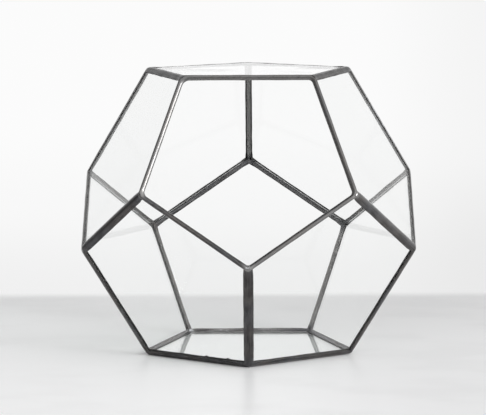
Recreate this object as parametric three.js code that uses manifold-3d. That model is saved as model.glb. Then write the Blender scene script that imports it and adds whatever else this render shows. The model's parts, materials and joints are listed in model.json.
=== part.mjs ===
// Open-faced glass terrarium in the shape of a regular dodecahedron, twelve equal pentagons.
// It stands on one pentagon. Eleven are glass panes, and the front upper one is the open mouth.
// The edge of every pane is wrapped in copper foil tape. Solder joins the taped edges of two panes
// along each seam, and beads the bare taped edge of one pane along each side of the mouth.
// Millimetres, +Z up, origin under the middle of the base, mouth towards -Y.

import * as THREE from 'three';
import { ConvexGeometry } from 'three/addons/geometries/ConvexGeometry.js';
import { mergeVertices } from 'three/addons/utils/BufferGeometryUtils.js';
import Module from 'manifold-3d';

const wasm = await Module();
wasm.setup();

// Driving dimensions
const EDGE = 80; // side of each pentagon, measured where the outer faces of two panes would meet
const GLASS = 2; // thickness of a pane
const FOIL = 0.1; // thickness of the foil tape
const GAP = 0.1; // clearance between glass, foil and solder
const MITRE_GAP = 0.3; // clearance between the ends of two neighbouring seams
const SET_BACK = 2.1; // from the meeting line of two outer faces to the cut edge of the glass
const REACH = 3.4; // from the same line to the free edge of the foil and of the solder over it
const TOE = 0.1; // thickness of the solder at its free edge

const CREST = -0.1; // height of a seam's bead against the meeting line
const LAND = 0.45; // height above the glass of the flat that is rubbed on each flank of the bead
const FILLET = 2.3; // from the meeting line to where the inner fillet leaves the tape of a pane

const RIM_WALL = 0.15; // solder over the foil on both faces of a rim
const RIM_NOSE = 0.4; // solder over the taped edge of a rim
const RIM_ROUND = 0.8; // radius on the two long corners of a rim
const CORNER_RADIUS = 7; // round fill in each corner of the mouth
const CORNER_INSET = 1; // from the mouth's ideal corner lines to where the fill starts
const CORNER_TOP = 2.1; // depth of the fill's outer face below the mouth's plane
const CORNER_THICKNESS = 1.2;
const RIM_STEPS = 3; // facets on a rim's rounded corner
const FILL_STEPS = 6; // facets on a corner fill's arc

// Values that follow from them
const SIDES = 5;
const TURN = (2 * Math.PI) / SIDES;
const GOLDEN = (1 + Math.sqrt(5)) / 2;
const SMALL_RADIUS = EDGE / (2 * Math.sin(TURN / 2)); // corners of the base and of the top
const LARGE_RADIUS = SMALL_RADIUS * GOLDEN; // corners of the two rings between them
const HEIGHT = SMALL_RADIUS * (1 + GOLDEN); // between the base plane and the top plane
const LOW = SMALL_RADIUS; // height of the lower of those rings
const HIGH = HEIGHT - LOW; // height of the upper one
const LEAN = Math.atan(GOLDEN); // half of the angle between two faces
const SHELL = GAP + FOIL + GAP; // from the glass to the solder
const CENTRE = new THREE.Vector3(0, 0, LAND + HEIGHT / 2);
const FAR = 2 * EDGE; // well past the solid in any direction

// The corners, in four rings from the base up. The base and the low ring have one at the front.
const FRONT = -Math.PI / 2;

function ring(radius, height, start) {
  return Array.from({ length: SIDES }, (_, i) => {
    const angle = start + i * TURN;
    return new THREE.Vector3(radius * Math.cos(angle), radius * Math.sin(angle), LAND + height);
  });
}

const baseRing = ring(SMALL_RADIUS, 0, FRONT);
const lowRing = ring(LARGE_RADIUS, LOW, FRONT);
const highRing = ring(LARGE_RADIUS, HIGH, FRONT + TURN / 2);
const topRing = ring(SMALL_RADIUS, HEIGHT, FRONT + TURN / 2);

// The faces, each with its corners in order, turning left as seen from outside
const LOWER_NAMES = ['lower_front_right', 'lower_right', 'lower_back', 'lower_left', 'lower_front_left'];
const UPPER_NAMES = ['mouth', 'upper_right', 'upper_back_right', 'upper_back_left', 'upper_left'];

function makeFace(name, corners) {
  const centre = new THREE.Vector3();
  corners.forEach((corner) => centre.addScaledVector(corner, 1 / SIDES));
  const normal = centre.clone().sub(CENTRE).normalize();
  return { name, corners, centre, normal };
}

const faces = [makeFace('base', [...baseRing].reverse()), makeFace('top', topRing)];
for (let i = 0; i < SIDES; i += 1) {
  const next = (i + 1) % SIDES;
  const last = (i + SIDES - 1) % SIDES;
  faces.push(
    makeFace(LOWER_NAMES[i], [baseRing[i], baseRing[next], lowRing[next], highRing[i], lowRing[i]]),
    makeFace(UPPER_NAMES[i], [topRing[i], topRing[last], highRing[last], lowRing[i], highRing[i]]),
  );
}
const mouth = faces.find((face) => face.name === 'mouth');
const glazed = faces.filter((face) => face !== mouth);

// Two faces that share two corners share the edge between them.
function edgeBetween(first, second) {
  const ends = first.corners.filter((corner) => second.corners.includes(corner));
  return ends.length === 2 ? { first, second, ends } : null;
}

// Solids
function toSolid(geometry) {
  geometry.deleteAttribute('normal');
  geometry.deleteAttribute('uv');
  const merged = mergeVertices(geometry);
  return new wasm.Manifold(
    new wasm.Mesh({
      numProp: 3,
      vertProperties: new Float32Array(merged.attributes.position.array),
      triVerts: new Uint32Array(merged.index.array),
    }),
  );
}

function toGeometry(solid) {
  const mesh = solid.getMesh();
  const geometry = new THREE.BufferGeometry();
  geometry.setAttribute('position', new THREE.BufferAttribute(mesh.vertProperties, 3));
  geometry.setIndex(new THREE.BufferAttribute(mesh.triVerts, 1));
  geometry.computeVertexNormals();
  return geometry;
}

function extrude(points, from, to, frame) {
  const geometry = new THREE.ExtrudeGeometry(new THREE.Shape(points), {
    depth: to - from,
    bevelEnabled: false,
  });
  geometry.translate(0, 0, from);
  geometry.applyMatrix4(frame);
  return toSolid(geometry);
}

// A face's own frame: origin at its centre, x towards its first corner, z outwards
function faceFrame(face) {
  const x = face.corners[0].clone().sub(face.centre).normalize();
  const y = face.normal.clone().cross(x);
  return new THREE.Matrix4().makeBasis(x, y, face.normal).setPosition(face.centre);
}

// The pentagon that lies a distance inside a face's own outline
function pentagon(inset) {
  const radius = SMALL_RADIUS - inset / Math.cos(TURN / 2);
  return Array.from(
    { length: SIDES },
    (_, i) => new THREE.Vector2(radius * Math.cos(i * TURN), radius * Math.sin(i * TURN)),
  );
}

function slab(face, inset, from, to) {
  return extrude(pentagon(inset), from, to, faceFrame(face));
}

// A pane's outer face lies in the face's plane.
function makePane(face) {
  return slab(face, SET_BACK, -GLASS, 0);
}

// Foil tape: a thin channel round the pane's edge, folded over both faces
function makeFoil(face) {
  const clear = GAP + FOIL;
  const outside = slab(face, SET_BACK - clear, -GLASS - clear, clear);
  const inside = slab(face, SET_BACK - GAP, -GLASS - GAP, GAP);
  const window = slab(face, REACH, -FAR, FAR);
  return outside.subtract(inside).subtract(window);
}

// Sections of seams are drawn across an edge: x outwards on the bisector of its two faces, y towards
// the first face. A point near that face lies some way along it from the edge and above the glass.
function onFace(along, above) {
  return new THREE.Vector2(
    -along * Math.cos(LEAN) + above * Math.sin(LEAN),
    along * Math.sin(LEAN) + above * Math.cos(LEAN),
  );
}

function mirrored(point) {
  return new THREE.Vector2(point.x, -point.y);
}

// The bead outside is part of a circle through its crest and both free edges. It has a flat on each
// flank, parallel to the glass: the terrarium stands on those of the base seams. The fillet inside
// lies along the tape of both panes, with a flat across the angle between them.
function seamSection() {
  const foot = onFace(REACH, SHELL + TOE);
  const rise = CREST - foot.x;
  const radius = (rise * rise + foot.y * foot.y) / (2 * rise);
  const middle = CREST - radius;
  const footAngle = Math.atan2(foot.y, foot.x - middle);
  const flatAngle = Math.PI / 2 - LEAN;
  const flatHalf = Math.acos((LAND - middle * Math.sin(LEAN)) / radius);
  const flank = [flatAngle - flatHalf, flatAngle + flatHalf, footAngle].map(
    (angle) => new THREE.Vector2(middle + radius * Math.cos(angle), radius * Math.sin(angle)),
  );
  flank.push(
    onFace(REACH, SHELL),
    onFace(SET_BACK - SHELL, SHELL),
    onFace(SET_BACK - SHELL, -GLASS - SHELL),
    onFace(REACH, -GLASS - SHELL),
    onFace(REACH, -GLASS - SHELL - TOE),
    onFace(FILLET, -GLASS - SHELL - TOE),
  );
  return [new THREE.Vector2(CREST, 0), ...flank, ...flank.map(mirrored).reverse()];
}

// A rim is a round-nosed bar over the edge of one pane. A slot is cut into it for the taped edge.
function rimSection() {
  const nose = SET_BACK - SHELL - RIM_NOSE;
  const halfWidth = GLASS / 2 + SHELL + RIM_WALL;
  const outline = [onFace(REACH, SHELL + TOE)];
  for (const side of [1, -1]) {
    for (let i = 0; i <= RIM_STEPS; i += 1) {
      const step = side > 0 ? i : RIM_STEPS - i;
      const angle = ((step / RIM_STEPS) * Math.PI) / 2;
      const along = nose + RIM_ROUND * (1 - Math.sin(angle));
      const across = halfWidth - RIM_ROUND * (1 - Math.cos(angle));
      outline.push(onFace(along, side * across - GLASS / 2));
    }
  }
  outline.push(onFace(REACH, -GLASS - SHELL - TOE));
  return outline;
}

// An edge's own frame: origin at its middle, x outwards, y towards the first face, z along it
function edgeFrame(edge) {
  const middle = edge.ends[0].clone().lerp(edge.ends[1], 0.5);
  const x = middle.clone().sub(CENTRE).normalize();
  const inPlane = edge.first.centre.clone().sub(middle);
  const y = inPlane.addScaledVector(x, -inPlane.dot(x)).normalize();
  const z = x.clone().cross(y);
  return new THREE.Matrix4().makeBasis(x, y, z).setPosition(middle);
}

// Neighbouring seams meet in the planes through the centre of the solid, a corner and a face centre.
// This wedge is what those planes leave for one edge, moved outwards by the clearance.
function mitreWedge(edge) {
  const middle = edge.ends[0].clone().lerp(edge.ends[1], 0.5);
  const outwards = middle.clone().sub(CENTRE);
  const planeDistance = (EDGE / 2) * Math.sin(Math.PI / 2 - TURN / 2);
  const shift = ((MITRE_GAP / 2) * outwards.length()) / planeDistance;
  const rays = [...edge.ends, edge.first.centre, edge.second.centre].map((point) =>
    point.clone().sub(CENTRE).setLength(FAR).add(CENTRE),
  );
  const geometry = new ConvexGeometry([CENTRE, ...rays]);
  const move = outwards.setLength(shift);
  geometry.translate(move.x, move.y, move.z);
  return toSolid(geometry);
}

function makeSeam(edge) {
  return extrude(seamSection(), -EDGE, EDGE, edgeFrame(edge)).intersect(mitreWedge(edge));
}

// The round solder fill in one corner of the mouth, drawn in the mouth's own frame
function makeCornerFill(index) {
  const [corner, last, next] = [0, -1, 1].map(
    (step) => pentagon(CORNER_INSET)[(index + step + SIDES) % SIDES],
  );
  const halfAngle = (Math.PI - TURN) / 2;
  const tangent = CORNER_RADIUS / Math.tan(halfAngle);
  const start = corner.clone().add(last.clone().sub(corner).setLength(tangent));
  const end = corner.clone().add(next.clone().sub(corner).setLength(tangent));
  const middle = corner.clone().setLength(corner.length() - CORNER_RADIUS / Math.sin(halfAngle));
  const endAngle = Math.atan2(end.y - middle.y, end.x - middle.x);
  const outline = [start, corner, end];
  for (let i = 1; i < FILL_STEPS; i += 1) {
    const angle = endAngle - (i / FILL_STEPS) * TURN;
    const onArc = new THREE.Vector2(Math.cos(angle), Math.sin(angle));
    outline.push(onArc.multiplyScalar(CORNER_RADIUS).add(middle));
  }
  return extrude(outline, -CORNER_TOP - CORNER_THICKNESS, -CORNER_TOP, faceFrame(mouth));
}

function makeRim(edge) {
  let solid = extrude(rimSection(), -EDGE, EDGE, edgeFrame(edge));
  for (const end of edge.ends) {
    solid = solid.add(makeCornerFill(mouth.corners.indexOf(end)));
  }
  const slot = slab(edge.first, SET_BACK - SHELL, -GLASS - SHELL, SHELL);
  return solid.subtract(slot).intersect(mitreWedge(edge));
}

// Finishes
function glassFinish() {
  return new THREE.MeshStandardMaterial({
    color: 0xe6efec,
    roughness: 0.03,
    metalness: 0,
    transparent: true,
    opacity: 0.25,
  });
}

function foilFinish() {
  return new THREE.MeshStandardMaterial({ color: 0x8d8a86, roughness: 0.45, metalness: 0.8 });
}

function patinaFinish() {
  return new THREE.MeshStandardMaterial({ color: 0x4a4644, roughness: 0.4, metalness: 0.85 });
}

// The assembly
const terrarium = new THREE.Group();
terrarium.name = 'terrarium';

function addPiece(name, solid, material) {
  const mesh = new THREE.Mesh(toGeometry(solid), material);
  mesh.name = name;
  terrarium.add(mesh);
}

glazed.forEach((face, index) => {
  addPiece(`pane_${face.name}`, makePane(face), glassFinish());
  addPiece(`foil_${face.name}`, makeFoil(face), foilFinish());
  for (const other of glazed.slice(index + 1)) {
    const edge = edgeBetween(face, other);
    if (edge) {
      addPiece(`seam_${face.name}_${other.name}`, makeSeam(edge), patinaFinish());
    }
  }
  const rimEdge = edgeBetween(face, mouth);
  if (rimEdge) {
    addPiece(`rim_${face.name}`, makeRim(rimEdge), patinaFinish());
  }
});

export default terrarium;
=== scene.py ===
# %% [markdown]
# # An open glass terrarium, soldered from pentagons
#
# The real object is a dodecahedron: twelve equal pentagons, eleven of them panes of clear glass and
# the front upper one left open as a mouth. It is made as a stained-glass lamp is. Each pane has its
# edge wrapped in copper foil tape, melted solder is run along every taped joint, and the metal is
# then darkened with a patina. This lesson dresses the CAD model of it. The panes are already right,
# so they only get a finish. The solder and the tape are modelled anew, because what the eye reads as
# hand work, such as soft corners, a wandering width and small drips, is missing from flat facets.

# %% Load the fixed frame
import json
import math

import bmesh
import bpy
from mathutils import Matrix, Vector, noise

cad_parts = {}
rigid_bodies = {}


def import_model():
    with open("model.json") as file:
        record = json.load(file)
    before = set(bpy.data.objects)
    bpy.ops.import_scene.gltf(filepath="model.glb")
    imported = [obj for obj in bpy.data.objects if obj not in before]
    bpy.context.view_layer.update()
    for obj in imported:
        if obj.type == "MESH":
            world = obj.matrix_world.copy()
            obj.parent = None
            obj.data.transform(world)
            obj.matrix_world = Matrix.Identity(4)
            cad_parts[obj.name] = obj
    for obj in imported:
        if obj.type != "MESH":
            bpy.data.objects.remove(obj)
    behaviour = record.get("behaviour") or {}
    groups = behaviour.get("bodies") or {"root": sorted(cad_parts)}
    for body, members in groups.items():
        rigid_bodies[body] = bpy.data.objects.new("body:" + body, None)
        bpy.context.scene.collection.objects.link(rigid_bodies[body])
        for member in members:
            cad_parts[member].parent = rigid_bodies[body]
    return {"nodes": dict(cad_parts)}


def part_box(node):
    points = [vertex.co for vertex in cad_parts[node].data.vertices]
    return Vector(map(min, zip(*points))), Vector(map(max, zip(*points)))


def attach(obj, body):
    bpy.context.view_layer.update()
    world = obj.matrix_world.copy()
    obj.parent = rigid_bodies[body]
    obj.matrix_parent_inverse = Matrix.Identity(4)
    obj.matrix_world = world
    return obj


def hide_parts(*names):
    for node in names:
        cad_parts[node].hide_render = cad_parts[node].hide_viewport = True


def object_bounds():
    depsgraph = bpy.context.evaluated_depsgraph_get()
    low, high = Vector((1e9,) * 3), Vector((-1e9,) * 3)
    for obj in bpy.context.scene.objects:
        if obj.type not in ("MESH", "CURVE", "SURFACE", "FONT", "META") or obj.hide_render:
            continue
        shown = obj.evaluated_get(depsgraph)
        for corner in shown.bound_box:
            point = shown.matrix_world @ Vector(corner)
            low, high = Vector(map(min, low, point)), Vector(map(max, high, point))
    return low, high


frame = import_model()
cad_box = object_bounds()
nodes = frame["nodes"]
panes = sorted(name for name in nodes if name.startswith("pane_"))
foils = sorted(name for name in nodes if name.startswith("foil_"))
print("The frame holds", len(nodes), "nodes, of them", len(panes), "panes")

# %% [markdown]
# ## Where the edges lie
#
# A dodecahedron's faces point the way that an icosahedron's corners do, and each has thirty edges
# that cross the other's at right angles. Blender has an icosphere operator, and one with a single
# subdivision is an icosahedron. So instead of working out twenty corners by hand, we ask for that
# shape, turn it until one corner points out of the mouth, and read the directions of all the faces
# from its corners and of all the seams from its edges.

# %% Directions of the faces and places of the edges
MM = 0.001
EDGE = 80 * MM  # side of a pentagon, where the outer faces of two panes would meet
GOLDEN = (1 + math.sqrt(5)) / 2
FACE_DISTANCE = EDGE * math.sqrt((25 + 11 * math.sqrt(5)) / 40)
EDGE_DISTANCE = EDGE * GOLDEN**2 / 2
APOTHEM = EDGE / (2 * math.tan(math.pi / 5))
LEAN = math.atan(GOLDEN)  # half of the angle between two faces
CENTRE = Vector((0, 0, (cad_box[0].z + cad_box[1].z) / 2))
SAME_WAY = 0.9  # cosine above which two directions belong to the same face


def pane_facing(direction):
    """The name of the face that lies in a direction, taken from the CAD pane there."""
    for name in panes:
        low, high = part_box(name)
        if ((low + high) / 2 - CENTRE).normalized().dot(direction) > SAME_WAY:
            return name.removeprefix("pane_")
    return "mouth"


guide = bmesh.new()
bmesh.ops.create_icosphere(guide, subdivisions=1, radius=1)
bmesh.ops.rotate(guide, verts=guide.verts, matrix=Matrix.Rotation(-math.pi / 2, 3, "Z"))
facing = {pane_facing(vert.co): vert.co.copy() for vert in guide.verts}
joints = [tuple(sorted(pane_facing(vert.co) for vert in edge.verts)) for edge in guide.edges]
guide.free()


def joint_frame(first, second):
    """Axes of the edge between two faces: x outwards, y towards the first face, z along it."""
    x = (facing[first] + facing[second]).normalized()
    y = (facing[first] - facing[second]).normalized()
    z = x.cross(y)
    turn = Matrix((x, y, z)).transposed().to_4x4()
    return Matrix.Translation(CENTRE + x * EDGE_DISTANCE) @ turn


seams = sorted(joint for joint in joints if "mouth" not in joint)
rims = sorted(joint for joint in joints if "mouth" in joint)
print(len(seams), "seams join two panes, and", len(rims), "rims edge the mouth")

# %% [markdown]
# ## The section of a seam
#
# Cut across, a seam is a low bead of solder outside, a thin web between the two taped edges, and a
# fillet in the angle inside. Solder only wets the tape, so its free edges lie where the tape ends.
# The tape was laid by hand and is never quite centred, so this distance differs from seam to seam
# and wanders along each one. We draw half of the outline for any such distance, and put two halves
# together. The slots for the taped edges stay open, because one looks straight into them through
# the clear glass.

# %% Draw the section
GLASS = 2 * MM
TAPE_FACE = 0.22 * MM  # height above the glass at which the solder lies on the tape
SET_BACK = 2.1 * MM  # from the meeting line of two outer faces to the cut edge of the glass
REACH = 3.42 * MM  # from that line to the free edge of the solder, on a wide seam
TOE = 0.12 * MM  # thickness of the solder at its free edge
CREST = -0.1 * MM  # height of the bead against the meeting line
LEG = 1.0 * MM  # how far short of that free edge the fillet inside leaves the tape
BEAD_STEPS = 7  # points from the crest of the bead to its free edge
FILLET_STEPS = 4


def on_face(along, above):
    """A point some way along a pane from the meeting line and above its outer face."""
    return Vector((
        -along * math.cos(LEAN) + above * math.sin(LEAN),
        along * math.sin(LEAN) + above * math.cos(LEAN),
    ))


FILLET_END = on_face(REACH - LEG, -GLASS - TAPE_FACE - TOE)
HOLLOW = FILLET_END.x + FILLET_END.y * math.tan(math.pi / 4 - LEAN / 2)  # its middle, along x


def arc(start, crest, steps):
    """Points from a crest on the axis to start, on the circle that is level at the crest."""
    rise = crest - start.x
    radius = (rise**2 + start.y**2) / (2 * rise)
    end = math.asin(start.y / abs(radius))
    angles = [end * step / steps for step in range(1, steps + 1)]
    return [
        Vector((crest - radius + radius * math.cos(a), abs(radius) * math.sin(a))) for a in angles
    ]


def half_outline(reach):
    """Half of a seam's outline, from beside the crest to beside the middle of the fillet."""
    toe = on_face(reach, TAPE_FACE + TOE)
    inner_toe = on_face(reach, -GLASS - TAPE_FACE - TOE)
    slot = [
        on_face(reach, TAPE_FACE),
        on_face(SET_BACK - TAPE_FACE, TAPE_FACE),
        on_face(SET_BACK - TAPE_FACE, -GLASS - TAPE_FACE),
        on_face(reach, -GLASS - TAPE_FACE),
    ]
    fillet = [inner_toe, *reversed(arc(FILLET_END, HOLLOW, FILLET_STEPS))]
    return (
        [(point, "bead") for point in arc(toe, CREST, BEAD_STEPS)]
        + [(point, "slot") for point in slot]
        + [(point, "fillet") for point in fillet]
    )


def seam_outline(reach, other_reach):
    """The closed outline of a seam, with the kind of surface at each point."""
    half = half_outline(reach)
    other = [(Vector((p.x, -p.y)), kind) for p, kind in reversed(half_outline(other_reach))]
    return [(Vector((CREST, 0)), "bead"), *half, (Vector((HOLLOW, 0)), "fillet"), *other]


print("The section has", len(seam_outline(REACH, REACH)), "points")

# %% [markdown]
# ## Sweeping a section
#
# Extrude is the operator for a bead: we lay the outline down once as a loop of edges, extrude the
# loop, move the new points to the next station, and repeat. Every point carries its number in the
# outline in a custom layer, which extrude copies, so a new point always knows its place. The same
# numbers give a UV map with the real lengths along and round the bead, in metres. The patina's
# brush marks need that, because they run along each seam, whichever way it points.

# %% A sweep that any route can use
KINDS = ("slot", "bead", "fillet")


def sweep(bm, outline_at, stations, place, offset=0.0):
    """Extrudes the outline of each station on to the next one.

    outline_at gives the points at a station, place turns a point into 3D, and offset is where
    the UV map starts along the bead.
    """
    number = bm.verts.layers.int.new("number")
    travel = bm.verts.layers.float.new("travel")
    kinds = bm.verts.layers.int.new("kind")
    uv = bm.loops.layers.uv.new("along")
    outline = outline_at(stations[0])
    around = [0.0]
    for (here, _), (there, _) in zip(outline, outline[1:] + outline[:1]):
        around.append(around[-1] + (there - here).length)
    first = []
    for index, (point, kind) in enumerate(outline):
        vert = bm.verts.new(place(point, stations[0]))
        vert[number] = index
        vert[travel] = stations[0]
        vert[kinds] = KINDS.index(kind)
        first.append(vert)
    loop = [bm.edges.new(pair) for pair in zip(first, first[1:] + first[:1])]
    for station in stations[1:]:
        grown = bmesh.ops.extrude_edge_only(bm, edges=loop)["geom"]
        fresh = {item for item in grown if isinstance(item, bmesh.types.BMVert)}
        loop = [
            item for item in grown
            if isinstance(item, bmesh.types.BMEdge) and fresh.issuperset(item.verts)
        ]
        outline = outline_at(station)
        for vert in fresh:
            vert.co = place(outline[vert[number]][0], station)
            vert[travel] = station
    for face in bm.faces:
        wraps = {0, len(outline) - 1} <= {vert[number] for vert in face.verts}
        for corner in face.loops:
            index = corner.vert[number]
            length = around[-1] if wraps and index == 0 else around[index]
            corner[uv].uv = (corner.vert[travel] + offset, length)


print("A sweep knows these kinds of surface:", *KINDS)

# %% [markdown]
# ## The lattice of seams
#
# At a corner three seams meet, each cut at a mitre. All sections are alike there, so their ends fall
# on the same points and merging doubles joins them into one skin, as the real solder is one casting.
# A straight extrusion would have to be cut at those mitre planes. It is simpler to let each line of
# the outline have its own length, so that every line ends on the plane by itself. Between the
# corners each seam has a width of its own, which a slow noise lets wander.

# %% How wide each seam is
CORNER_REACH = 3.1 * MM  # at the corners, where all sections are alike
ALIKE_FROM, ALIKE_AT = 0.84, 0.99  # shares of half a seam between which it comes to that
WANDER = 0.16 * MM
WANDER_RATE = 110  # per metre
SEAM_APART, SIDE_APART = 7.31, 3.7  # steps through the noise, so that no two edges wander alike
USUAL_REACH = 3.1  # in mm
REACHES = {  # in mm, of the seams that differ from the usual one
    ("lower_front_left", "lower_front_right"): 3.42,
    ("lower_front_left", "upper_left"): 3.6,
    ("lower_front_right", "upper_right"): 3.6,
    ("base", "lower_front_left"): 3.0,
    ("base", "lower_front_right"): 2.95,
    ("top", "upper_right"): 3.05,
    ("lower_left", "upper_left"): 3.5,
    ("upper_back_left", "upper_left"): 3.4,
    ("lower_front_left", "lower_left"): 3.4,
    ("upper_back_left", "upper_back_right"): 2.75,
    ("lower_back", "upper_back_left"): 2.75,
    ("lower_back", "upper_back_right"): 2.7,
    ("lower_back", "lower_left"): 2.75,
    ("lower_back", "lower_right"): 2.75,
    ("lower_left", "upper_back_left"): 2.75,
    ("lower_right", "upper_back_right"): 2.7,
    ("base", "lower_back"): 3.3,
}
FLATTER = 0.74  # share of its height that the solder lacks along the top pane's two far edges
FLAT_FROM, FLAT_FULLY = 21.5 * MM, 25.5 * MM  # the places along y between which that comes in
DRIP_HEIGHT = 0.9 * MM
DRIP_WIDTH = 0.8 * MM
DRIPS = {  # places in mm where solder ran from a seam on to its second pane
    ("base", "lower_front_left"): ((-25.9, -49.2, 3), (-11.6, -59.6, 3)),
}


def smooth_share(value, low, high):
    """0 up to low, 1 from high on, and a smooth curve between them."""
    share = min(max((value - low) / (high - low), 0), 1)
    return share * share * (3 - 2 * share)


def away_from_ends(station):
    """1 along most of a seam, falling to 0 at its ends, where all sections have to be alike."""
    return 1 - smooth_share(abs(station) / (EDGE / 2), ALIKE_FROM, ALIKE_AT)


def lie_flat(bm):
    """Lowers what stands above the top pane, where the maker kept the solder thin."""
    for vert in bm.verts:
        above = max(vert.co.z - CENTRE.z - FACE_DISTANCE, 0)
        vert.co.z -= FLATTER * above * smooth_share(vert.co.y, FLAT_FROM, FLAT_FULLY)


def reach_at(joint, side, station):
    """How far a seam reaches on to a pane at a station, measured from the middle of the seam."""
    if "mouth" in joint:
        return REACH
    own = REACHES.get(joint, USUAL_REACH) * MM
    if side == 1:
        for spot in DRIPS.get(joint, ()):
            there = (joint_frame(*joint).inverted() @ (Vector(spot) * MM)).z
            own += DRIP_HEIGHT * math.exp(-(((station - there) / DRIP_WIDTH) ** 2))
    place = Vector((station * WANDER_RATE, SEAM_APART * joints.index(joint), SIDE_APART * side))
    wander = WANDER * noise.noise(place)
    return CORNER_REACH + (own - CORNER_REACH + wander) * away_from_ends(station)


print("Seams reach", min(REACHES.values()), "to", max(REACHES.values()), "mm over the panes")

# %% [markdown]
# ## Seam by seam
#
# A bmesh operator takes longer the more there is in its mesh, so each seam is swept in a small mesh
# of its own and then poured into the lattice. While it is still alone, it is also noted on its points
# how much its patina is lightened, partly as wear and partly as painted reflection, and where the
# value is below 0 how much it is darkened as painted shade, since that differs from seam to seam.
# The ends that look into the mouth, where no third seam meets them, are open and get closed by a lid.

# %% Run the seams and join them
STATION = 1.0 * MM
FINE_STATION = 0.55 * MM
FINE_LENGTH = 7 * MM  # how far from a corner the stations lie closer together
STRIP = 3 * EDGE  # from the start of one seam to that of the next in the UV map
MERGE = 0.02 * MM  # points closer than this become one
LID_ROOM = 4  # how many more sides a lid may have than the section has
SEAM_WEAR_AND_LIGHT = {  # how much a seam's patina is lightened, partly wear and partly painted reflection, and below 0 darkened as painted shade
    ("upper_back_left", "upper_back_right"): 0.45,
    ("upper_back_left", "upper_left"): 0.6,
    ("upper_back_right", "upper_right"): 0.6,
    ("lower_back", "lower_left"): 0.32,
    ("lower_back", "lower_right"): 0.4,
    ("lower_left", "upper_left"): 0.36,
    ("lower_back", "upper_back_right"): 0.2,
    ("lower_back", "upper_back_left"): 0.14,
    ("lower_left", "upper_back_left"): 0.24,
    ("lower_right", "upper_back_right"): 0.14,
    ("lower_right", "upper_right"): -0.3,
    ("lower_front_right", "lower_right"): 0.1,
    ("lower_front_right", "upper_right"): 0.09,
    ("lower_front_left", "upper_left"): -0.2,
    ("lower_front_left", "lower_front_right"): -0.2,
    ("base", "lower_front_right"): -0.15,
    ("base", "lower_front_left"): -0.12,
    ("top", "upper_left"): -0.5,
    ("top", "upper_right"): -0.4,
}


def mitred_half(point):
    """Half of the length of the line through a point of the section, from mitre to mitre."""
    return EDGE / 2 * (1 + (point.x - GOLDEN * abs(point.y)) / EDGE_DISTANCE)


def place_on_seam(point, station):
    """A point of the section, moved along the seam towards its mitres."""
    return Vector((point.x, point.y, station / (EDGE / 2) * mitred_half(point)))


def seam_stations():
    """Places from end to end of a seam, closer together near the corners."""
    rough = EDGE / 2 - FINE_LENGTH
    coarse = [rough * i / round(rough / STATION) for i in range(round(rough / STATION))]
    count = round(FINE_LENGTH / FINE_STATION)
    fine = [rough + FINE_LENGTH * i / count for i in range(count + 1)]
    half = coarse + fine
    return [-value for value in reversed(half[1:])] + half


def pour_into(whole, part):
    """Adds a part to a larger mesh, and frees the part."""
    mesh = bpy.data.meshes.new("part")
    part.to_mesh(mesh)
    part.free()
    whole.from_mesh(mesh)
    bpy.data.meshes.remove(mesh)


lattice = bmesh.new()
for index, joint in enumerate(seams):
    bead = bmesh.new()

    def outline_at(station):
        return seam_outline(reach_at(joint, 0, station), reach_at(joint, 1, station))

    sweep(bead, outline_at, seam_stations(), place_on_seam, offset=index * STRIP)
    bmesh.ops.transform(bead, matrix=joint_frame(*joint), verts=bead.verts)
    lie_flat(bead)
    # Values above 0 lighten the patina as wear and painted reflection, values below 0 darken it as
    # painted shade; both fade towards the corners
    wear_and_painted_light = bead.verts.layers.float.new("wear_and_painted_light")
    travel = bead.verts.layers.float["travel"]
    for vert in bead.verts:
        vert[wear_and_painted_light] = SEAM_WEAR_AND_LIGHT.get(joint, 0) * away_from_ends(vert[travel])
    pour_into(lattice, bead)
bmesh.ops.remove_doubles(lattice, verts=lattice.verts, dist=MERGE)
open_edges = [edge for edge in lattice.edges if edge.is_boundary]
lid_sides = len(seam_outline(REACH, REACH)) + LID_ROOM
bmesh.ops.holes_fill(lattice, edges=open_edges, sides=lid_sides)
bmesh.ops.recalc_face_normals(lattice, faces=lattice.faces)
print("The lattice has", len(lattice.faces), "faces, open edges left:",
      sum(edge.is_boundary for edge in lattice.edges))

# %% [markdown]
# ## The rim round the mouth
#
# The five bare pane edges round the mouth are tinned in one go, so the rim is one ring that turns
# every corner of the mouth in a soft bend. Its section is again one outline, but the outline travels
# round a pentagon with round corners. The corner radius is larger at the inner side than where the
# rim lies over the panes, which leaves the small web of solder that fills each corner.

# %% Sweep the rim
RIM_HALF = 1.68 * MM  # half of its width across the pane
RIM_NOSE = 1.4 * MM  # from the meeting line to the top of the nose
RIM_DEPTH = 1.3 * MM  # from there to where the sides run parallel to the pane
RIM_SHAPE = 2.3  # 2 is an ellipse, more is a squarer nose
RIM_STEPS = 14  # over the nose, from one side to the other
NOSE_RADII = [radius * MM for radius in (2.6, 3.0, 3.0, 6.5, 4.5)]  # from the lowest corner on
SKIRT_RADIUS = 2.4 * MM  # at every corner, where the rim ends on the panes
BEND_STEPS = 12
SIDE_STATION = 1.0 * MM

mouth_x = Vector((1, 0, 0))
mouth_out = facing["mouth"]
mouth_y = mouth_out.cross(mouth_x)
mouth_centre = CENTRE + mouth_out * FACE_DISTANCE


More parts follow.
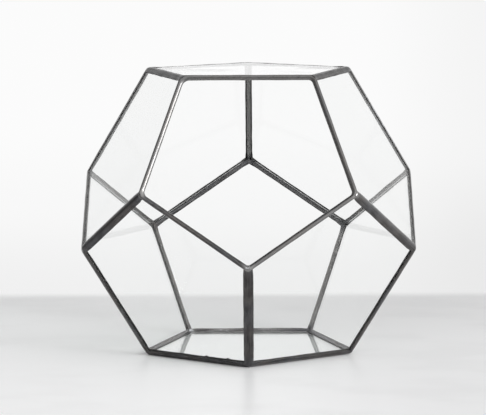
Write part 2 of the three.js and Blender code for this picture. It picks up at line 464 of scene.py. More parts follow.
def rim_outline(_station):
    """Points (along the pane, inwards across it), from the outer skirt over the nose and back.

    The section is the same all round, so it takes no notice of the station.
    """
    middle = GLASS / 2
    points = [((REACH, -TAPE_FACE - TOE), "bead")]
    for step in range(RIM_STEPS + 1):
        angle = math.pi * (step / RIM_STEPS - 0.5)
        reach = abs(math.cos(angle)) ** (2 / RIM_SHAPE)
        across = math.copysign(abs(math.sin(angle)) ** (2 / RIM_SHAPE), math.sin(angle))
        points.append(((RIM_NOSE + RIM_DEPTH * (1 - reach), middle + RIM_HALF * across), "bead"))
    points += [
        ((REACH, GLASS + TAPE_FACE + TOE), "bead"),
        ((REACH, GLASS + TAPE_FACE), "slot"),
        ((SET_BACK - TAPE_FACE, GLASS + TAPE_FACE), "slot"),
        ((SET_BACK - TAPE_FACE, -TAPE_FACE), "slot"),
        ((REACH, -TAPE_FACE), "slot"),
    ]
    return [(Vector(point), kind) for point, kind in points]


def round_pentagon(inset, share, station):
    """A point on a pentagon with round corners, at a station from 0 to 5.

    The first half of each unit is a bend, and the second half is the straight side after it.
    """
    corner, part = divmod(station, 1)

    def bend_at(corner):
        nose = NOSE_RADII[int(corner) % 5]
        radius = nose + (SKIRT_RADIUS - nose) * share
        heading = -math.pi / 2 + corner * 2 * math.pi / 5
        reach = (APOTHEM - inset - radius) / math.cos(math.pi / 5)
        return heading, Vector((math.cos(heading), math.sin(heading))) * reach, radius

    heading, centre, radius = bend_at(corner)
    if part <= 0.5:
        turn = heading - math.pi / 5 + 2 * part * 2 * math.pi / 5
        return centre + Vector((math.cos(turn), math.sin(turn))) * radius
    _, following, next_radius = bend_at(corner + 1)
    out = heading + math.pi / 5
    out = Vector((math.cos(out), math.sin(out)))
    return (centre + out * radius).lerp(following + out * next_radius, 2 * part - 1)


def place_on_rim(point, station):
    """A point of the rim's section, taken round the mouth."""
    along, across = point
    inset = -along * math.cos(math.pi - 2 * LEAN) + across * math.sin(math.pi - 2 * LEAN)
    depth = along * math.sin(math.pi - 2 * LEAN) + across * math.cos(math.pi - 2 * LEAN)
    share = min(max((along - RIM_NOSE) / (REACH - RIM_NOSE), 0), 1)
    flat = round_pentagon(inset, share, station)
    return mouth_centre + mouth_x * flat.x + mouth_y * flat.y - mouth_out * depth


side_steps = round((EDGE - 2 * max(NOSE_RADII)) / SIDE_STATION)
bend = [0.5 * i / BEND_STEPS for i in range(BEND_STEPS)]
straight = [0.5 + 0.5 * i / side_steps for i in range(side_steps)]
turns = [corner + part for corner in range(5) for part in bend + straight]
turns.append(5 - 1e-9)  # back at the start, but still on the fifth side

rim = bmesh.new()
sweep(rim, rim_outline, turns, place_on_rim)
bmesh.ops.remove_doubles(rim, verts=rim.verts, dist=MERGE)
bmesh.ops.recalc_face_normals(rim, faces=rim.faces)
print("The rim has", len(rim.faces), "faces, open edges left:",
      sum(edge.is_boundary for edge in rim.edges))

# %% [markdown]
# ## Soft corners and an uneven skin
#
# Molten solder pulls itself round at every corner and freezes with a slightly lumpy skin. Smoothing
# the points near the corners does the first. For the second, two noises push the skin in and out
# along its normals by a tenth of a millimetre, but only where it is free metal: the slots that hold
# the glass must not move. Where the whole thing stands, the beads have been rubbed flat.

# %% Round the corners and roughen the metal
CORNER_ROOM = 3.4 * MM  # how near to a corner of the solid a point is smoothed
SMOOTHINGS, SMOOTHING = 5, 0.5  # rounds, and how far each takes a point
LUMPS = ((100, 0.11 * MM), (220, 0.03 * MM))  # cycles per metre and height


def soften(bm):
    """Smooths the outer points near the corners of the solid."""
    kinds = bm.verts.layers.int["kind"]
    free = [
        vert for vert in bm.verts
        if vert[kinds] == KINDS.index("bead")
        and min((vert.co - corner).length for corner in corners) < CORNER_ROOM
    ]
    for _ in range(SMOOTHINGS):
        bmesh.ops.smooth_vert(
            bm, verts=free, factor=SMOOTHING, use_axis_x=True, use_axis_y=True, use_axis_z=True
        )
    return len(free)


def roughen(bm):
    """Pushes the free metal in and out along its normals."""
    bm.normal_update()
    kinds = bm.verts.layers.int["kind"]
    moves = []
    for vert in bm.verts:
        if vert[kinds] != KINDS.index("slot"):
            push = sum(height * noise.noise(vert.co * rate) for rate, height in LUMPS)
            moves.append((vert, vert.normal * push))
    for vert, move in moves:
        vert.co += move
        vert.co.z = max(vert.co.z, 0)


corners = []
for joint in joints:
    for end in (-1, 1):
        corner = joint_frame(*joint) @ Vector((0, 0, end * EDGE / 2))
        if all((corner - known).length > EDGE / 2 for known in corners):
            corners.append(corner)
softened = soften(lattice)
roughen(lattice)
roughen(rim)
print("The solid has", len(corners), "corners, and", softened, "points near them were smoothed")

# %% [markdown]
# ## Wear, painted highlights and painted shade
#
# Hands and cloths rub the patina thin on the rim and on some seams, and at a few corners and along
# the back of the base bare solder shows. These places, and light and shade painted into the metal's
# colour, are painted on the points as attributes that the finish reads further down. One lightens the
# patina, partly where it is rubbed thin and partly as painted reflection and painted highlight, such
# as the light line along the rim. Each seam has brought its own value along, and one below 0 darkens
# the patina as painted shade and gives it less coat. The other says where the solder is bare, and
# also puts painted glints on some corners.

# %% Mark worn patina, bare solder, and painted glints, highlights and shade
BARE_AND_GLINT_SPOTS = (  # place and radius in mm, and how bright: bare solder, and painted glints and painted reflection; 1 is all bright, 0.5 in bright specks
    ((-104, -34, 69), 1.4, 1.0),
    ((0.5, 108, 109), 1.2, 1.0),
    ((-38, 54, 2), 2.4, 1.0),
    ((-33, 55, 1), 1.8, 1.0),
    ((28, 55, 1), 0.8, 1.0),
    ((-17, 55, 1), 10, 0.42),
    ((12, 55, 1), 13, 0.36),
    ((-104, 34, 110), 1.6, 0.9),
    ((104, 34, 110), 1.4, 0.8),
    ((-85, 28, 145), 45, 0.5),
    ((85, 28, 145), 45, 0.54),
    # painted glints on the three lower corners of the mouth
    ((0, -109, 68), 3, 0.52),
    ((66, -88, 109), 2.6, 0.56),
    ((-64, -88, 111), 2.5, 0.5),
)
FAINT = 2.5  # in radii of a spot, where it has faded to nothing
# Painted highlight on the rim: its patina is lightened side by side, partly as wear and partly as the
# light line and reflections it would mirror; the inner half of the low right side is darkened as
# painted shade
RIM_WEAR_AND_LIGHT = (-0.1, 0.27, 0.34, 0.29, 0.14)  # low right, right, top, left, low left
OUTER_RIM_WEAR_AND_LIGHT = (0.34, 0.27, 0.34, 0.29, 0.14)  # the same on the rim's outer half
for bm in (lattice, rim):
    bare_and_glint = bm.verts.layers.float.new("bare_and_glint")
    for spot, radius, most in BARE_AND_GLINT_SPOTS:
        for vert in bm.verts:
            away = (vert.co - Vector(spot) * MM).length / (radius * MM)
            if away < FAINT:
                vert[bare_and_glint] = max(vert[bare_and_glint], most * math.exp(-away * away))
# The rim's wear and painted highlight, blended from side to side
wear_and_painted_light = rim.verts.layers.float.new("wear_and_painted_light")
travel = rim.verts.layers.float["travel"]
number = rim.verts.layers.int["number"]
for vert in rim.verts:
    rim_wear_and_light = OUTER_RIM_WEAR_AND_LIGHT if vert[number] <= RIM_STEPS / 2 else RIM_WEAR_AND_LIGHT
    side, part = divmod(vert[travel], 1)
    before, after = rim_wear_and_light[int(side) % 5 - 1], rim_wear_and_light[int(side) % 5]
    vert[wear_and_painted_light] = before + (after - before) * min(2 * part, 1)
print("Wear is painted at", len(BARE_AND_GLINT_SPOTS), "spots, on", len(SEAM_WEAR_AND_LIGHT), "seams and on the rim")

# %% [markdown]
# ## The tape
#
# Copper foil is wrapped round the edge of every pane. Little of it is left to see, only its back
# through the glass. A ring of it is the same sweep again with a thin folded outline, run along the
# five sides of one pane, with the free edges just short of the solder.

# %% Wrap the panes
TAPE_SHORT = 0.03 * MM  # how far the tape ends before the solder
TAPE_NEAR, TAPE_FAR = 0.1 * MM, 0.18 * MM  # heights of its two faces above the glass


def tape_outline(reach):
    """The folded strip round one edge of a pane: the outer way first, then back inside it."""
    end = reach - TAPE_SHORT
    points = []
    for clear in (TAPE_FAR, TAPE_NEAR):
        way = [
            on_face(end, clear),
            on_face(SET_BACK - clear, clear),
            on_face(SET_BACK - clear, -GLASS - clear),
            on_face(end, -GLASS - clear),
        ]
        points += way if clear == TAPE_FAR else reversed(way)
    return [(point, "slot") for point in points]


def tape_ring(face):
    """A ring of tape round all five edges of one pane."""
    ring = bmesh.new()
    for joint in (joint for joint in joints if face in joint):
        side = joint.index(face)
        strip = bmesh.new()

        def outline_at(station):
            return tape_outline(reach_at(joint, side, station))

        sweep(strip, outline_at, seam_stations(), place_on_seam)
        if side == 1:
            bmesh.ops.scale(strip, vec=(1, -1, 1), verts=strip.verts)
        bmesh.ops.transform(strip, matrix=joint_frame(*joint), verts=strip.verts)
        lie_flat(strip)
        pour_into(ring, strip)
    bmesh.ops.remove_doubles(ring, verts=ring.verts, dist=MERGE)
    bmesh.ops.recalc_face_normals(ring, faces=ring.faces)
    return ring


print("The tape is", round((TAPE_FAR - TAPE_NEAR) / MM, 2), "mm thick")

# %% [markdown]
# ## Pieces that stand for the CAD nodes
#
# Each finished mesh becomes one object at the origin, rides on the object's only body, and hides the
# CAD nodes that it stands for, which stay behind for collision. Shading is smooth over the rounded
# metal, but an edge that turns by more than about forty degrees stays sharp, or the thin free edge
# of the solder would shade as if it were part of the bead.

# %% Turn a mesh into a piece
SHARP = math.radians(42)


def to_piece(bm, name, finish, replaced, smooth=True):
    """An object at the origin that rides on the body and stands for CAD nodes."""
    for face in bm.faces:
        face.smooth = smooth
    for edge in bm.edges:
        edge.smooth = edge.calc_face_angle(0) < SHARP
    mesh = bpy.data.meshes.new(name)
    bm.to_mesh(mesh)
    bm.free()
    piece = bpy.data.objects.new(name, mesh)
    bpy.context.scene.collection.objects.link(piece)
    piece.data.materials.append(finish)
    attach(piece, "root")
    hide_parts(*replaced)
    print(name, "has", len(mesh.vertices), "points and stands for", len(replaced), "nodes")


# %% [markdown]
# ## Finishes as arithmetic
#
# Every finish here is a sum of noises, masks and colours. In the node editor that is a net of wires,
# and in Python it reads best as arithmetic. So one small class wraps a socket and turns plus, minus,
# times and divided by into Math nodes. Another class adds any other node from its type, its settings
# and its sockets. The light of the room is written in the same language further down.

# %% A small language for shader sums


class Signal:
    """A socket in a node tree. Sums on it add Math nodes."""

    def __init__(self, finish, socket):
        self.finish = finish
        self.socket = socket

    def sum(self, operation, first, second):
        node = self.finish.node("ShaderNodeMath", {"operation": operation}, {0: first, 1: second})
        return node.out(0)

    def __add__(self, other):
        return self.sum("ADD", self, other)

    def __sub__(self, other):
        return self.sum("SUBTRACT", self, other)

    def __rsub__(self, other):
        return self.sum("SUBTRACT", other, self)

    def __mul__(self, other):
        return self.sum("MULTIPLY", self, other)

    def __truediv__(self, other):
        return self.sum("DIVIDE", self, other)

    def __rtruediv__(self, other):
        return self.sum("DIVIDE", other, self)

    __radd__ = __add__
    __rmul__ = __mul__


class Step:
    """A node in a tree, with its outputs as signals."""

    def __init__(self, finish, node):
        self.finish = finish
        self.node = node

    def out(self, key):
        return Signal(self.finish, self.node.outputs[key])


class Finish:
    """The node tree of a material or of the world, written as expressions."""

    def __init__(self, owner):
        owner.use_nodes = True
        self.tree = owner.node_tree
        self.tree.nodes.clear()

    def node(self, kind, settings=None, sockets=None):
        """Adds a node: its settings first, then the values or links of its sockets."""
        node = self.tree.nodes.new(kind)
        for key, value in (settings or {}).items():
            setattr(node, key, value)
        for key, value in (sockets or {}).items():
            if isinstance(value, Signal):
                self.tree.links.new(value.socket, node.inputs[key])
            else:
                node.inputs[key].default_value = value
        return Step(self, node)

    def colour(self, share, low, high):
        """A colour between two others."""
        sockets = {0: share, 6: low, 7: high}
        return self.node("ShaderNodeMix", {"data_type": "RGBA"}, sockets).out(2)

    def either(self, share, first, second):
        """A shader between two others."""
        return self.node("ShaderNodeMixShader", {}, {0: share, 1: first, 2: second}).out(0)

    def spread(self, value, low, high, to_low=0.0, to_high=1.0):
        """A value taken smoothly from one range to another, and held inside it."""
        sockets = {0: value, 1: low, 2: high, 3: to_low, 4: to_high}
        return self.node("ShaderNodeMapRange", {"interpolation_type": "SMOOTHSTEP"}, sockets).out(0)

    def grain(self, place, scale, stretch=(1, 1, 1), detail=2.0):
        """Noise on a place, drawn out along its axes, mostly between 0.3 and 0.7."""
        drawn = self.node("ShaderNodeMapping", {}, {"Vector": place, "Scale": stretch}).out(0)
        sockets = {"Vector": drawn, "Scale": scale, "Detail": detail}
        return self.node("ShaderNodeTexNoise", {}, sockets).out(0)

    def uneven(self, height, strength, depth):
        """Normals of a surface that goes up and down by a depth."""
        sockets = {"Strength": strength, "Distance": depth, "Height": height}
        return self.node("ShaderNodeBump", {}, sockets).out(0)

    def objects(self):
        return self.node("ShaderNodeTexCoord").out("Object")

    def show(self, shader):
        self.node("ShaderNodeOutputMaterial", {}, {"Surface": shader})


ALL_SHADES, MIDDLE_SHADES = (0.3, 0.7), (0.4, 0.6)  # ranges of a noise


def grey(value, blue=0.0):
    """A grey, or one that is a little bluish."""
    return (value, value, value + blue, 1)


print("The small language has", len([name for name in vars(Finish) if name[0] != "_"]), "words")

# %% [markdown]
# ## Patina
#
# Solder is silver when it freezes. The maker wipes a patina over it that turns its skin nearly
# black, and then rubs it with wax. It is still metal, so this is a dark metallic finish under a thin
# clear coat. The coat gives the crisp lines of light along the beads and makes them paler where one
# looks along them. The darker, rougher metal below gives the soft part of the gloss. The cloth went
# along each seam, so the streaks follow the UV map, drawn out twenty times. The tint drifts from
# bluish to brownish over a few centimetres. The attributes painted above lighten the patina where
# hands have rubbed it thin and as painted reflection and painted highlight, darken it as painted
# shade with less coat, and bring in bare solder and painted glints.

# %% The finish of the solder
STREAKS = 1000  # per metre across a seam
STREAK_STRETCH = (0.05, 1.1, 1)
STREAK_SHARE = 0.55  # of the shades, and clouds give the rest
MIXED_SHADES = (0.36, 0.64)  # the range of the two together
CLOUDS, TINTS, PITS = 130, 35, 700  # per metre
RUBBED_AND_LIT_SHOWS, THICK_AND_SHADED_SHOWS = (0.0, 0.6), (-0.5, 0.0)  # wear and painted light over which each comes in or goes
MOST_RUBBED_AND_LIT, MOST_THICK_AND_SHADED = 0.85, 0.7  # shares of the two colours below that the skin takes on
PITTED = (0.42, 0.62)  # bareness and painted glint, raised or lowered by a noise, over which the bright solder comes out
GLOSS = (0.24, 0.40)  # roughness
WAX = (0.1, 0.55)  # weight of the clear coat, where the patina is darkened as painted shade and elsewhere
DARK = ((0.026, 0.026, 0.029, 1), (0.035, 0.031, 0.030, 1))  # bluish and brownish
LIGHT = ((0.084, 0.084, 0.090, 1), (0.096, 0.087, 0.083, 1))
# The darkest colour below is painted shade, the rubbed colour a lighter patina that is partly wear
# and partly painted reflection, and the bare colour bare solder and painted glints
THICK_AND_SHADED = (0.020, 0.020, 0.021, 1)
RUBBED_AND_LIT = (0.256, 0.251, 0.246, 1)
BARE_SOLDER_AND_GLINT = (0.50, 0.51, 0.53, 1)


def patina():
    material = bpy.data.materials.new("patina_on_solder")
    finish = Finish(material)
    lengths = finish.node("ShaderNodeUVMap", {"uv_map": "along"}).out(0)
    place = finish.objects()
    streak = finish.grain(lengths, STREAKS, STREAK_STRETCH, detail=3)
    cloud = finish.grain(place, CLOUDS, detail=3)
    tint = finish.spread(finish.grain(place, TINTS, detail=1), *MIDDLE_SHADES)
    tone = finish.spread(streak * STREAK_SHARE + cloud * (1 - STREAK_SHARE), *MIXED_SHADES)
    wear_and_painted_light = finish.node("ShaderNodeAttribute", {"attribute_name": "wear_and_painted_light"}).out("Fac")
    bare_and_glint = finish.node("ShaderNodeAttribute", {"attribute_name": "bare_and_glint"}).out("Fac")
    # Lighter patina as wear and painted reflection, darker as painted shade, and bright spots as bare
    # solder and painted glints
    rubbed_and_lit_share = finish.spread(wear_and_painted_light + bare_and_glint, *RUBBED_AND_LIT_SHOWS) * MOST_RUBBED_AND_LIT
    thick_and_shaded_share = finish.spread(wear_and_painted_light, *THICK_AND_SHADED_SHOWS, MOST_THICK_AND_SHADED, 0.0)
    bare_and_glint_share = finish.spread(bare_and_glint + finish.grain(place, PITS) - 0.5, *PITTED)
    skin = finish.colour(tone, finish.colour(tint, *DARK), finish.colour(tint, *LIGHT))
    skin = finish.colour(thick_and_shaded_share, finish.colour(rubbed_and_lit_share, skin, RUBBED_AND_LIT), THICK_AND_SHADED)
    skin = finish.colour(bare_and_glint_share, skin, BARE_SOLDER_AND_GLINT)
    finish.show(finish.node("ShaderNodeBsdfPrincipled", {}, {
        "Base Color": skin,
        "Metallic": 0.9,
        "Roughness": finish.spread(streak, *ALL_SHADES, *GLOSS),
        "Coat Weight": finish.spread(wear_and_painted_light, *THICK_AND_SHADED_SHOWS, *WAX),
        "Coat Roughness": 0.12,
        "Coat IOR": 1.5,
        "Normal": finish.uneven(streak, 0.2, 0.12 * MM),
    }).out(0))
    return material


patina_finish = patina()
print("The patina has", len(patina_finish.node_tree.nodes), "nodes")

# %% [markdown]
# ## The back of the tape
#
# All that one sees of the foil is its back, pressed on the glass. Bright copper would shine through
# beside a dark seam, so makers take tape with a black back. It is nearly black and hardly glossy,
# with the fine crinkle that foil gets when it is rubbed down by hand. One noise does both the
# shades and the crinkle.

# %% The finish of the tape
CRINKLES = 500  # per metre
TAPE_BLACKS = ((0.035, 0.034, 0.034, 1), (0.075, 0.070, 0.068, 1))
TAPE_GLOSS = (0.5, 0.7)  # roughness


def black_backed_tape():
    material = bpy.data.materials.new("foil_tape")
    finish = Finish(material)
    crinkle = finish.grain(finish.objects(), CRINKLES, detail=3)
    finish.show(finish.node("ShaderNodeBsdfPrincipled", {}, {
        "Base Color": finish.colour(crinkle, *TAPE_BLACKS),
        "Metallic": 0.2,
        "Roughness": finish.spread(crinkle, *ALL_SHADES, *TAPE_GLOSS),
        "Normal": finish.uneven(crinkle, 0.3, 0.1 * MM),
    }).out(0))
    return material


tape_finish = black_backed_tape()
print("The tape has", len(tape_finish.node_tree.nodes), "nodes")

# %% [markdown]
# ## Glass
#
# Clear sheet glass shows only by what it mirrors, by a faint tint, and where it is not quite flat or
# not quite clean. A shader with full transmission gives the first two. A slow wave in its normals
# and a few smears in its roughness give the rest. In the photograph the upright panes mirror next to
# nothing, as through a polarising filter, while the level ones mirror the wall strongly. So there
# are two glasses, and the upright one has a lower index. Light that falls through a pane on to the
# table would take very many samples, so for such rays the pane is a plain transparent sheet.

# %% The finish of the panes
UPRIGHT_INDEX = 1.22
LEVEL_INDEX = 1.52
UPRIGHT_TINT = (0.987, 0.990, 0.989, 1)
LEVEL_TINT = (0.994, 0.995, 0.998, 1)
WAVES, SMEARS = 22, 45  # per metre
SMEAR_STRETCH = (1, 1, 0.35)  # the cloth went up and down
SMEARED = 0.03  # roughness where the glass isn't clean
SMEARS_SHOW = (0.5, 0.75)  # the shades of the noise over which a smear comes in
LIGHT_THROUGH = (0.95, 0.96, 0.955, 1)


def clear_glass(name, index, tint):
    material = bpy.data.materials.new(name)
    finish = Finish(material)
    place = finish.objects()
    wave = finish.grain(place, WAVES, detail=1)
    cloth = finish.grain(place, SMEARS, SMEAR_STRETCH, detail=4)
    smear = finish.spread(cloth, *SMEARS_SHOW, 0.0, SMEARED)
    glass = finish.node("ShaderNodeBsdfPrincipled", {}, {
        "Base Color": tint,
        "Roughness": smear,
        "IOR": index,
        "Transmission Weight": 1.0,
        "Normal": finish.uneven(wave, 0.25, 0.2 * MM),
    }).out(0)
    through = finish.node("ShaderNodeBsdfTransparent", {}, {"Color": LIGHT_THROUGH}).out(0)
    rays = finish.node("ShaderNodeLightPath")
    lamps = finish.either(rays.out("Is Shadow Ray"), glass, through)
    finish.show(finish.either(rays.out("Is Diffuse Ray"), lamps, through))
    return material


upright_glass = clear_glass("clear_glass", UPRIGHT_INDEX, UPRIGHT_TINT)
level_glass = clear_glass("clear_glass_level", LEVEL_INDEX, LEVEL_TINT)
for name in panes:
    level = name in ("pane_base", "pane_top")
    nodes[name].data.materials.clear()
    nodes[name].data.materials.append(level_glass if level else upright_glass)
print(len(panes), "panes are glazed")

# %% [markdown]
# ## Tape and solder in their places
#
# Now that there are finishes, the meshes can become pieces. The panes stay as they came from the CAD
# model. Each ring of tape stands for one CAD node, and the two pieces of solder for all the seams and
# all the sides of the rim, because the real solder has no gaps either.

# %% Place the tape and the solder
for name in foils:
    face = name.removeprefix("foil_")
    to_piece(tape_ring(face), "tape_" + face, tape_finish, [name], smooth=False)
seam_nodes = [name for name in nodes if name.startswith("seam_")]
rim_nodes = [name for name in nodes if name.startswith("rim_")]
to_piece(lattice, "solder_seams", patina_finish, seam_nodes)
to_piece(rim, "solder_rim", patina_finish, rim_nodes)

# %% [markdown]
# ## The table and the wall
#
# In the photograph a pale painted table ends softly in a bright wall. One long sheet can be both.
# Its near part is slightly glossy paint, which gives the faint mirror image under each corner. Past
# the table's edge the same sheet glows in place of the wall, since a wall that far behind shows
# little shading of its own. That glow is painted light: it brightens further back, with a painted
# shade at the right that is strongest low down. The table's colour carries painted shade as well:
# it darkens slowly along y, away from the viewer, the way light falls off in a real studio, and
# sideways over wedges that fan out from a point far in front. A cloudy noise keeps the paint from
# being one flat colour. At its near end and its two sides, which only the views from elsewhere see,
# the sheet fades into the backdrop.

# %% The stage
TABLE_BACK, SOFT_EDGE = 0.222, 0.016  # where the table ends, and half of how soft its edge is
FRONT, FAR = -0.75, 8.0
LEFT, RIGHT, FAR_LEFT = -0.48, 1.0, -1.5
FADE = 0.14  # over how much the sheet's sides fade away
FAN_FROM = 1.75  # how far in front of the middle the point lies from which the painted shade fans out
BLUISH = 0.005  # how much more blue than red the paint has
NEAR_LIT_PAINT, UNDER_LIT_PAINT, BACK_LIT_PAINT = 0.99, 0.955, 0.85  # the paint in full light, falling from near to back as painted shade
UNDER_COMES, BACK_COMES = (-0.01, 0.05), (0.08, 0.2)  # along y, over which they come in
NEAR_SHADED, BACK_SHADED = 0.81, 0.695
BACK_SHADED_COMES = (-0.01, 0.17)
SHADE_COMES = (-0.02, 0.09)  # sideways, as a slope from that point
SHADE_SHIFT, SHIFT_COMES = 0.033, (0.0, 0.12)  # further back it begins more to the left
CLOUDY = 0.2  # share of the shading that comes as clouds
PAINT_CLOUDS, CLOUD_STRETCH, CLOUDS_SHOW = 11, (1, 1.6, 1), (0.45, 0.65)
# The wall's glow levels are painted light, brighter further back; the shaded wall colour is a painted
# shade at its right, strongest low down
LOW_WALL, WALL, HIGH_WALL, SHADED_WALL = 0.872, 0.937, 0.967, 0.82
WALL_COMES, HIGH_WALL_COMES = (0.2, 0.75), (0.6, 1.5)  # along y
WALL_SHADE_COMES = (0.035, 0.085)  # sideways
WALL_SHADE_GOES, LEAST_WALL_SHADE = (0.2, 1.2), 0.38  # along y


def pale_sheet():
    """The material of the table, which turns into the bright wall behind its far edge."""
    material = bpy.data.materials.new("pale_table")
    finish = Finish(material)
    place = finish.objects()
    apart = finish.node("ShaderNodeSeparateXYZ", {}, {0: place})
    x, y = apart.out(0), apart.out(1)
    aside = x / (y + FAN_FROM)
    # Painted shade along y: the table's colour darkens from near, to under the object, to its back
    near, under, back = (grey(tone, BLUISH) for tone in (NEAR_LIT_PAINT, UNDER_LIT_PAINT, BACK_LIT_PAINT))
    lit_paint = finish.colour(finish.spread(y, *UNDER_COMES), near, under)
    lit_paint = finish.colour(finish.spread(y, *BACK_COMES), lit_paint, back)
    near, back = grey(NEAR_SHADED, BLUISH), grey(BACK_SHADED, BLUISH)
    shaded = finish.colour(finish.spread(y, *BACK_SHADED_COMES), near, back)
    cloud = finish.grain(place, PAINT_CLOUDS, CLOUD_STRETCH, detail=3)
    cloud = finish.spread(cloud, *CLOUDS_SHOW)
    # Painted shade sideways: towards the right the colour goes over to the shaded one, and a fifth of
    # the mix comes as random clouds
    shift = finish.spread(y, *SHIFT_COMES) * SHADE_SHIFT
    shade_and_clouds = finish.spread(aside + shift, *SHADE_COMES) * (1 - CLOUDY) + cloud * CLOUDY
    table = finish.node("ShaderNodeBsdfPrincipled", {}, {
        "Base Color": finish.colour(shade_and_clouds, lit_paint, shaded),
        "Roughness": 0.34,
        "Specular IOR Level": 0.3,
    }).out(0)
    # Painted light on the wall: the glow brightens further back, with a painted shade at the right
    wall = finish.colour(finish.spread(y, *WALL_COMES), grey(LOW_WALL), grey(WALL))
    wall = finish.colour(finish.spread(y, *HIGH_WALL_COMES), wall, grey(HIGH_WALL))
    shade = finish.spread(y, *WALL_SHADE_GOES, 1.0, LEAST_WALL_SHADE)
    wall = finish.colour(finish.spread(aside, *WALL_SHADE_COMES) * shade, wall, grey(SHADED_WALL))
    glow = finish.node("ShaderNodeEmission", {}, {"Color": wall}).out(0)
    past_edge = finish.spread(y, TABLE_BACK - SOFT_EDGE, TABLE_BACK + SOFT_EDGE)
    from_left = x - LEFT + (y - FRONT) * ((LEFT - FAR_LEFT) / (FAR - FRONT))
    kept = finish.spread(from_left, 0, FADE) * finish.spread(x, RIGHT - FADE, RIGHT, 1, 0)
    kept = kept * finish.spread(y, FRONT, FRONT + 2 * FADE)
    nothing = finish.node("ShaderNodeBsdfTransparent").out(0)
    finish.show(finish.either(kept, nothing, finish.either(past_edge, table, glow)))
    return material


sheet = bmesh.new()
bmesh.ops.create_grid(sheet, x_segments=1, y_segments=1, size=0.5)
bmesh.ops.scale(sheet, vec=(RIGHT - LEFT, FAR - FRONT, 1), verts=sheet.verts)
bmesh.ops.translate(sheet, vec=((LEFT + RIGHT) / 2, (FAR + FRONT) / 2, 0), verts=sheet.verts)
for vert in sheet.verts:
    if vert.co.x < 0 < vert.co.y:
        vert.co.x = FAR_LEFT
sheet_mesh = bpy.data.meshes.new("table")
sheet.to_mesh(sheet_mesh)
sheet.free()
table = bpy.data.objects.new("table", sheet_mesh)
table.data.materials.append(pale_sheet())
bpy.context.scene.collection.objects.link(table)
print("The sheet is", round(FAR - FRONT, 2), "m long")

# %% [markdown]
# ## The light
#
# Dark glossy metal shows the room more than its own colour, and each bead mirrors another part of
# it. So the room is painted into the world as a few soft patches by direction: the wall's glow
# behind, a light high in front, a brighter right and a darker left side. A ray that comes straight
# from the camera or through a pane sees a plain pale backdrop instead, for the views from other
# sides. One large softbox at the right is the window: it draws the bright line along the left side
# of the rim, and the soft shadows. Seen from the far side it would glare in the glossy table, as a
# real one does, so it is two lights in one place. One lights all but the table, and the other only
# the table, without a mirror image.

# %% The room and the window
ROOM = 0.45  # strength of the light from everywhere
RIGHT_SIDE, LEFT_SIDE, WALL_GLOW, HIGH_LIGHT = 0.55, -0.22, 0.61, 0.8  # added to it in a patch
FROM_BELOW = 0.5  # share of all this that comes back up from the table
BACKDROP = 0.967
WINDOW_PLACE = Vector((0.757, -0.543, 0.362)) * 2.0
WINDOW_SIZE = (1.15, 0.6)
WINDOW_RADIANCE = 11

world = bpy.data.worlds.new("studio")
bpy.context.scene.world = world
room = Finish(world)
direction = room.node("ShaderNodeTexCoord").out("Generated")
parts = room.node("ShaderNodeSeparateXYZ", {}, {0: direction})
right, back, up = parts.out(0), parts.out(1), parts.out(2)
# Each patch begins where a direction points so far to its side, and is full at the second number
right_side = room.spread(right, 0.3, 0.95) * RIGHT_SIDE
left_side = room.spread(right, -0.95, -0.65, LEFT_SIDE, 0.0)
wall_glow = room.spread(back, 0.76, 0.93) * room.spread(up, 0.18, 0.3, WALL_GLOW, 0.0)
high_front = right * 0.25 - back * 0.62 + up * 0.74
above = room.spread(high_front, 0.7, 0.98) * HIGH_LIGHT
below = room.spread(up, -0.25, 0.0, FROM_BELOW, 1.0)
brightness = (right_side + left_side + wall_glow + above + ROOM) * below
rays = room.node("ShaderNodeLightPath")
seen = rays.out("Is Camera Ray") + rays.out("Is Transmission Ray")
brightness = brightness + seen * (BACKDROP - brightness)
glowing = {"Color": grey(1.0), "Strength": brightness}
shade = room.node("ShaderNodeBackground", {}, glowing).out(0)
room.node("ShaderNodeOutputWorld", {}, {"Surface": shade})


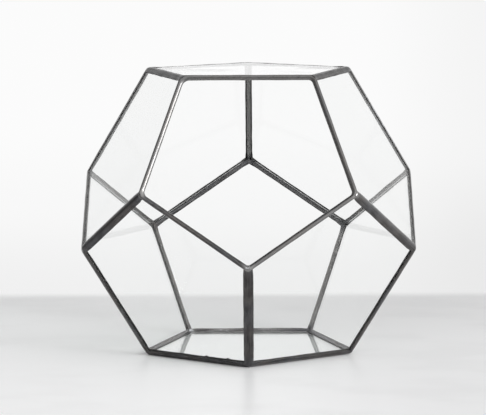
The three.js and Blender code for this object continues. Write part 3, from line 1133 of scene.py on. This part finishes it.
def window_light(name, table_is, glossy):
    """A softbox in the window's place, for the table alone or for all but the table.

    Panes don't show it either way: a camera behind the object would see it glare through them.
    """
    light = bpy.data.lights.new(name, "AREA")
    light.shape = "RECTANGLE"
    light.size, light.size_y = WINDOW_SIZE
    light.energy = WINDOW_RADIANCE * math.pi * light.size * light.size_y
    window = bpy.data.objects.new(name, light)
    window.location = WINDOW_PLACE
    window.rotation_euler = (CENTRE - WINDOW_PLACE).to_track_quat("-Z", "Y").to_euler()
    window.visible_glossy = glossy
    window.visible_transmission = False
    bpy.context.scene.collection.objects.link(window)
    lit = bpy.data.collections.new(name)
    lit.objects.link(table)
    window.light_linking.receiver_collection = lit
    lit.collection_objects[0].light_linking.link_state = table_is
    return light


window_light("window", table_is="EXCLUDE", glossy=True)
watts = window_light("window_on_table", table_is="INCLUDE", glossy=False).energy
print("The window gives", round(watts), "W from", round(WINDOW_PLACE.length, 2), "m away")

# %% [markdown]
# ## The camera
#
# The corners of a regular dodecahedron are known exactly, so the camera can be worked out from where
# they fall in the photograph, and its place is best given in edges of the solid. It came out far
# away with a long lens, as one photographs a product to keep its sides from leaning. The view is
# taken as it is, without film curves, so that a tone in the scene is a tone in the picture.

# %% Set the camera
IMAGE_WIDTH = 486
FOCAL_PIXELS = 2771.2
CAMERA_PLACE = Vector((0.0877, -21.845, 3.8462)) * EDGE
CAMERA_TURN = (90 - 7.071, 0.249, 0.316)  # degrees about x, y and z, first the tilt downwards
SENSOR = 36  # mm

camera = bpy.data.objects.new("camera", bpy.data.cameras.new("camera"))
camera.data.sensor_fit = "HORIZONTAL"
camera.data.sensor_width = SENSOR
camera.data.lens = SENSOR * FOCAL_PIXELS / IMAGE_WIDTH
camera.location = CAMERA_PLACE
camera.rotation_euler = [math.radians(angle) for angle in CAMERA_TURN]
bpy.context.scene.collection.objects.link(camera)
bpy.context.scene.camera = camera
bpy.context.scene.view_settings.view_transform = "Standard"
print("The lens is", round(camera.data.lens), "mm, and the camera",
      round(CAMERA_PLACE.length, 2), "m away")

# %% [markdown]
# ## The size
#
# Dressing the model must not change its size.
